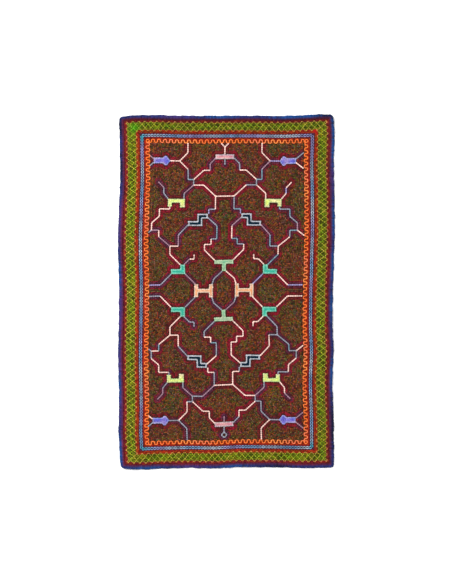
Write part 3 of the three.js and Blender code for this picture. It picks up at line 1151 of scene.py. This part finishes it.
def work_braid():
    """The navy rows underneath, plum at both edges as painted shadow of the raised braid, then the wide
    chain.
    """
    rows = [border_row(BRAID_INSET + shift) for shift in BRAID_GROUND]
    places, headings, _ = joined(rows)
    shape = spindles(places, headings, BRAID_GROUND_STITCH)
    # Painted shadow: the two outer rows are plum, the raised braid's shadow beside it; the rows between are
    # navy for its dark holes.
    outer = np.repeat([1, 0, 0, 1], [len(row[0]) for row in rows])[:, None]
    dark = np.where(outer, dye(84, 32, 54), dye(16, 22, 52)) * chance.normal(1, 0.18, (len(places), 1))
    strand_piece("braid_ground", *shape, dark, fine_yarn)
    corners = border_place(np.arange(4), np.zeros(4), np.full(4, BRAID_INSET))
    first, last, _ = links_on(corners, np.roll(corners, -1, axis=0), BRAID_LINK)
    walked = np.cumsum(np.linalg.norm(last - first, axis=1))
    points = chain_links(first, last, BRAID_WIDTH, BRAID_YARN, BRAID_LEVEL, overlap=BRAID_OVERLAP)
    run = np.array([BRAID_YARNS[letter] for letter in BRAID_RUN])
    colours = variegated(walked, run, walked[-1] + 0.1, BRAID_UNEVEN)
    colours = np.tile(fresh_yarn(first, colours, "blue_braid"), (2, 1))
    strand_piece("blue_braid", points, BRAID_YARN, BRAID_THICKNESS, colours, line_yarn, sides=6)


work_braid()

# %% [markdown]
# ## The orange wave
# The innermost border is a wave of orange yarn that swings between the rust and the field, with a small
# ring at each corner. Its path is a flattened sine across the band, and the places along are pushed back
# by a second sine of half the wavelength, which squares its bends. A table gives each side's crests: how
# far the first and the last stand from the rings' middles, and how many there are. Short stitches follow
# the path evenly.

# %% Wave
WAVE_INSET = 45.5
WAVE_SWINGS = (2.55, 2.65, 2.6, 2.85)
WAVE_FIRST = (4.5, 8.1, 6.1, 10.1)
WAVE_LAST = (10.1, 8.9, 8.5, 10.1)
WAVE_CRESTS = (26, 52, 26, 52)
WAVE_SQUARING = 0.07
WAVE_FLATNESS = 1.6
WAVE_STEP = 1.6
WAVE_STITCH = (2.5, 1.85, 1.5, 1.9)
WAVE_SLANT = 6.0
WAVE_CHANGES = (260.0, 0.08)
PATH_START = 400
RING_RADIUS = 2.5
ORANGES = dyes((242, 122, 58), (230, 106, 50), (240, 136, 68), (232, 118, 78), (236, 114, 46))


def wave_path(side):
    """A fine line along one side's wave, from just past one corner ring to just before the next."""
    mitre = mitre_at(side, WAVE_INSET)
    first, last = mitre + WAVE_FIRST[side], SIDE_LENGTHS[side] - mitre - WAVE_LAST[side]
    length = (last - first) / (WAVE_CRESTS[side] - 1)
    reach = np.array([mitre + RING_RADIUS, SIDE_LENGTHS[side] - mitre - RING_RADIUS])
    turns = np.pi / 2 + 2 * np.pi * (reach - first) / length
    turn = np.linspace(*turns, WAVE_CRESTS[side] * 48)
    along = first + (turn / (2 * np.pi) - 0.25) * length - WAVE_SQUARING * length * np.sin(2 * turn)
    flattened = -np.tanh(WAVE_FLATNESS * np.sin(turn)) / np.tanh(WAVE_FLATNESS)
    across = flattened * WAVE_SWINGS[side] * (1 + 0.07 * np.sin(turn / 5.3))
    base = border_place(np.full(len(turn), side), along, np.full(len(turn), WAVE_INSET))
    return base + across[:, None] * SIDE_INWARDS[side]


def ring_path(side):
    """A circle round the wave border's corner."""
    centre = border_place(side, np.zeros(1), np.array([WAVE_INSET]))
    turn = np.linspace(0, 2 * np.pi, 40)
    return centre + RING_RADIUS * np.stack([np.cos(turn), np.sin(turn)], axis=1)


def even_steps(path, so_far):
    """Middles and headings of even steps along a fine line, and the length walked."""
    lengths = np.concatenate([[0], np.cumsum(np.linalg.norm(np.diff(path, axis=0), axis=1))])
    marks = np.linspace(0, lengths[-1], int(round(lengths[-1] / WAVE_STEP)) + 1)
    ends = np.stack([np.interp(marks, lengths, path[:, axis]) for axis in (0, 1)], axis=1)
    return (ends[:-1] + ends[1:]) / 2, unit(np.diff(ends, axis=0)), marks[:-1] + so_far


def work_wave():
    """The wave and the rings as one piece of overlapping stitches."""
    paths = [wave_path(side) for side in range(4)] + [ring_path(side) for side in range(4)]
    steps = [even_steps(path, PATH_START * number) for number, path in enumerate(paths)]
    places, headings, walked = joined(steps)
    shape = spindles(places, headings, WAVE_STITCH, slant=WAVE_SLANT)
    strand_piece("orange_wave", *shape, variegated(walked, ORANGES, *WAVE_CHANGES), line_yarn, sides=5)


work_wave()

# %% [markdown]
# ## The yarn edging
# The rim is wrapped: the yarn comes up inside the rim, passes over it, down the outside and back
# underneath, and moves on by its own width. Each wrap is one strand through a short profile of insets and
# heights. It leans along the rim, and its colour runs from navy outside to purple where it meets the
# maroon rows. Letters name the outer yarn's stretches of navy, blue, violet and near black, a line for
# each side, as for the braid.

# %% Places on the rim
WRAP_PITCH = 2.4
RIM_YARNS = {
    "n": dye(34, 42, 96),
    "b": dye(22, 64, 124),
    "v": dye(58, 46, 104),
    "k": dye(20, 24, 56),
}
RIM_RUN = (
    "nbnvnbnknn"
    "nkknbnnbnbnbnvbb"
    "kbbnnbnvnn"
    "knknvvnbvvnvbvnb"
)
PURPLES = dyes((92, 34, 62), (80, 36, 74), (108, 32, 52), (90, 30, 58))


def rim_walk(pitch):
    """Places on the rim, their outward headings and the length walked, round sides and rounded corners."""
    rows = []
    turns = max(int(round(CORNER_RADIUS * np.pi / 2 / (pitch * 0.75))), 3)
    angle = ((np.arange(turns) + 0.5) / turns * np.pi / 2)[:, None]
    for side in range(4):
        heading, outwards = SIDE_HEADINGS[side], -SIDE_INWARDS[side]
        length = SIDE_LENGTHS[side] - 2 * CORNER_RADIUS
        count = int(round(length / pitch))
        along = (np.arange(count) + 0.5) / count * length + CORNER_RADIUS
        rows.append((SIDE_CORNERS[side] + along[:, None] * heading, np.tile(outwards, (count, 1))))
        out = np.cos(angle) * outwards + np.sin(angle) * heading
        rows.append((BOX_CORNERS[(side + 1) % 4] * (HALF - CORNER_RADIUS) + CORNER_RADIUS * out, out))
    places, outs = joined(rows)
    return places, outs, np.arange(len(places)) * pitch


rim_places, rim_outs, rim_walked = rim_walk(WRAP_PITCH)
print(f"wraps: {len(rim_places)}")

# %% [markdown]
# The profile has twelve stations, so that a wrap bends smoothly over the rim. The wraps swell and shrink
# along the rim by two slow sines and by chance, which gives the edge the photograph's bumpy line.

# %% Wrapped edging
WRAP_INSETS = np.array([7.7, 7.2, 6.2, 4.8, 3.2, 1.9, 1.0, 0.7, 0.95, 1.8, 4.4, 5.8])
WRAP_HEIGHTS = np.array([1.5, 2.05, 2.3, 2.4, 2.38, 2.2, 1.8, 1.45, 1.15, 1.0, 1.0, 1.15])
WRAP_LEAN = 1.5
WRAP_YARN = 1.45
WRAP_SPREAD = 1.72
OVER_THE_RIM = 1.48


def wrap_points(places, outs, walked):
    """Centre points of every wrap: the profile set inwards, swollen, and leant along the rim."""
    count = len(places)
    uneven = 0.3 * np.sin(walked / 5.1) * np.sin(walked / 23.0) + 0.2 * np.sin(walked / 2.7 + 1)
    swell = (0.3 + uneven + chance.normal(0, 0.12, count)).clip(-0.35, 0.85)[:, None]
    inset = WRAP_INSETS - swell * np.where(WRAP_INSETS < 2, 1.0, 0.3)
    lean = WRAP_LEAN * (np.linspace(0.5, -0.5, len(WRAP_INSETS)) + chance.normal(0, 0.05, count)[:, None])
    flat = places[:, None, :] - inset[..., None] * outs[:, None, :]
    flat = flat + lean[..., None] * square_to(outs)[:, None, :]
    height = WRAP_HEIGHTS + chance.normal(0, 0.05, count)[:, None]
    return np.concatenate([flat, height[..., None]], axis=-1)


def wrap_colours(places, walked):
    """The outer yarn's run of stretches, changing to purple over the inner part of each wrap's top."""
    run = np.array([RIM_YARNS[letter] for letter in RIM_RUN])
    outer = variegated(walked + chance.normal(0, 6.0, len(places)), run, walked[-1] + WRAP_PITCH, 0.16)
    inner = variegated(walked, PURPLES, 190.0, 0.14) * side_shade(places)
    inner_share = (np.clip((WRAP_INSETS - 3.4) / 2.8, 0, 1) * (WRAP_HEIGHTS > OVER_THE_RIM))[:, None]
    return blend(outer[:, None, :], inner[:, None, :], inner_share)


def work_edging():
    """Every wrap as one strand through the whole profile."""
    points = wrap_points(rim_places, rim_outs, rim_walked)
    thick = (WRAP_YARN * chance.normal(1, 0.07, len(points)).clip(0.85, 1.15))[:, None]
    colours = wrap_colours(rim_places, rim_walked)
    sideways = np.concatenate([-square_to(rim_outs), np.zeros((len(points), 1))], axis=1)
    return strand_piece("edging_wraps", points, thick * WRAP_SPREAD, thick, colours, thick_yarn, sides=6,
                        sideways=sideways, slot=SLOT_OF_EDGING)


edging = work_edging()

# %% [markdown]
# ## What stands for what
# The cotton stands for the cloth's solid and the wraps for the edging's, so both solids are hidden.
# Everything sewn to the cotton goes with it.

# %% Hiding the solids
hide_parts("embroidered_cloth")
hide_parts("yarn_edging")

# %% [markdown]
# ## Floor, light and camera
# The picture is taken from straight above in even light on white. A big soft lamp to one side keeps a
# little shade in the stitches, a second fills from the other side, and the sky does the rest.

# %% Floor
FLOOR_REACH = 6
FLOOR_HEIGHT = -0.2


def pale_floor():
    """A wide white board just under the cloth."""
    mesh = bpy.data.meshes.new("pale_floor")
    corners = [(x * FLOOR_REACH, y * FLOOR_REACH, FLOOR_HEIGHT * MM) for x, y in BOX_CORNERS]
    mesh.from_pydata(corners, [], [(0, 1, 2, 3)])
    finish, _, shader = new_finish("white_board", 0.9, 0.0)
    shader.inputs["Base Color"].default_value = (0.94, 0.94, 0.94, 1)
    mesh.materials.append(finish)
    floor = bpy.data.objects.new("pale_floor", mesh)
    bpy.context.scene.collection.objects.link(floor)


pale_floor()

# %% Light
def soft_lamp(name, place, size, watts):
    """A square area lamp that faces the middle of the cloth."""
    data = bpy.data.lights.new(name, "AREA")
    data.size = size
    data.energy = watts
    lamp = bpy.data.objects.new(name, data)
    lamp.location = place
    lamp.rotation_euler = Vector(place).to_track_quat("Z", "Y").to_euler()
    bpy.context.scene.collection.objects.link(lamp)
    print(f"{name}: {watts} W, {size} m wide")


soft_lamp("key_lamp", (-1.5, 1.1, 1.9), 1.3, 108)
soft_lamp("fill_lamp", (1.5, -1.2, 2.1), 1.8, 34)
sky = bpy.data.worlds.new("white_sky")
sky.use_nodes = True
sky.node_tree.nodes["Background"].inputs["Color"].default_value = (1, 1, 1, 1)
sky.node_tree.nodes["Background"].inputs["Strength"].default_value = 0.58
bpy.context.scene.world = sky
bpy.context.scene.view_settings.view_transform = "Standard"

# %% [markdown]
# The camera looks straight down with a long lens from the distance at which one picture row is as many
# millimetres as it was in the photograph, and it stands over the middle of the picture.

# %% Camera
PICTURE_ROWS = 584
MM_PER_PIXEL = 1.62
LENS = 100.0
PICTURE_MIDDLE = (-0.55, -0.15)


def overhead_camera():
    """A camera straight above: its height is the picture's real height times the lens over the sensor."""
    data = bpy.data.cameras.new("overhead_camera")
    data.lens = LENS
    data.clip_end = 50
    camera = bpy.data.objects.new("overhead_camera", data)
    height = PICTURE_ROWS * MM_PER_PIXEL * MM * LENS / data.sensor_width
    camera.location = (PICTURE_MIDDLE[0] * MM, PICTURE_MIDDLE[1] * MM, height)
    bpy.context.scene.collection.objects.link(camera)
    bpy.context.scene.camera = camera
    print(f"camera: {height:.2f} m up")


overhead_camera()
